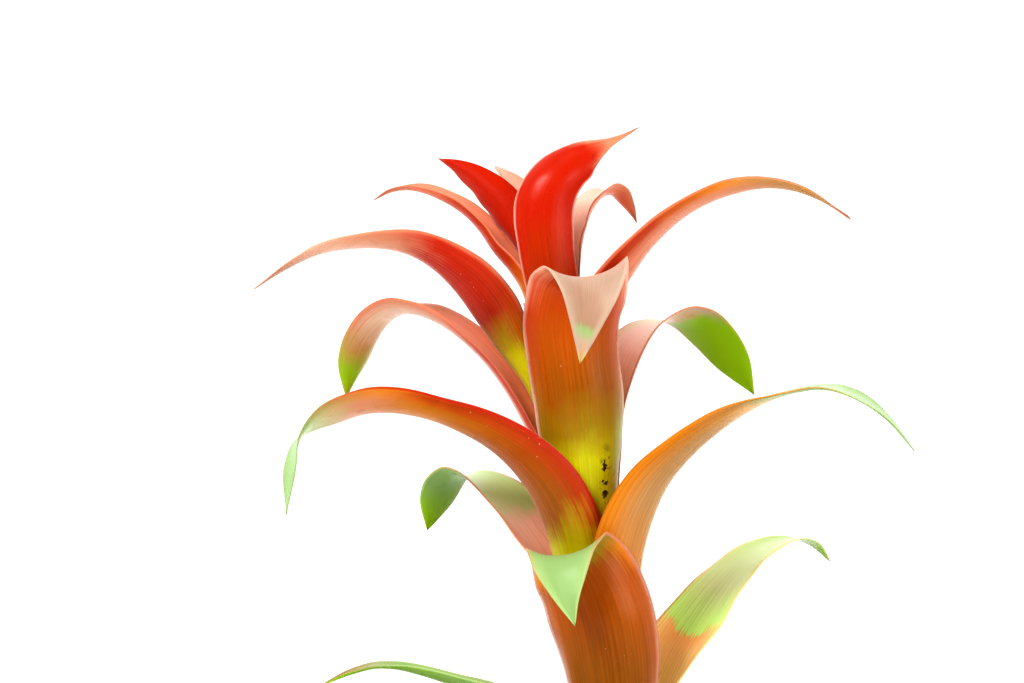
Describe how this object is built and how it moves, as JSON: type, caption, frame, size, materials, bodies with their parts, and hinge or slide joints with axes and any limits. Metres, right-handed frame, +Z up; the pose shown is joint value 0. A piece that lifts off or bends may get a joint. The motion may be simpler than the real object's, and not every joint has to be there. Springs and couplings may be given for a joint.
{
  "type": "potted bromeliad",
  "caption": "Potted bromeliad: green strap-leaved rosette in a plain clay pot of soil, with a tall leaning spike of curling orange-red bracts with green tips.",
  "frame": {"origin": "centre of the pot's flat underside", "axes": "+Z up, from the pot's underside to the tip of the flower spike; -Y is the front, which the open front bracts face; the spike leans towards -X"},
  "size_m": [0.472, 0.4485, 0.5391],
  "materials": {
    "clay": "matt unglazed terracotta",
    "soil": "loose dark potting mix with bark",
    "stem": "smooth green stem",
    "leaf": "glossy green strap leaf",
    "scape_bract": "satin pale green bract",
    "bract": "waxy orange-red bract with yellow-green base and green tip"
  },
  "bodies": {
    "root": {"bract_back_high": "bract", "bract_back_low": "bract", "bract_back_mid": "bract", "bract_bud": "bract", "bract_front_low": "bract", "bract_front_mid": "bract", "bract_left_back_high": "bract", "bract_left_back_low": "bract", "bract_left_back_mid": "bract", "bract_left_high": "bract", "bract_left_mid": "bract", "bract_low_front": "scape_bract", "bract_low_left": "scape_bract", "bract_right_back_mid": "bract", "bract_right_high": "bract", "bract_right_low": "bract", "bract_right_mid": "bract", "bract_top_back": "bract", "bract_top_front": "bract", "bract_top_left": "bract", "bract_top_right_back": "bract", "leaf_01": "leaf", "leaf_02": "leaf", "leaf_03": "leaf", "leaf_04": "leaf", "leaf_05": "leaf", "leaf_06": "leaf", "leaf_07": "leaf", "leaf_08": "leaf", "leaf_09": "leaf", "leaf_10": "leaf", "leaf_11": "leaf", "leaf_12": "leaf", "leaf_13": "leaf", "leaf_14": "leaf", "leaf_15": "leaf", "leaf_16": "leaf", "leaf_17": "leaf", "pot": "clay", "scape_bract_1": "scape_bract", "scape_bract_2": "scape_bract", "scape_bract_3": "scape_bract", "soil": "soil", "stem": "stem"}
  },
  "joints": []
}
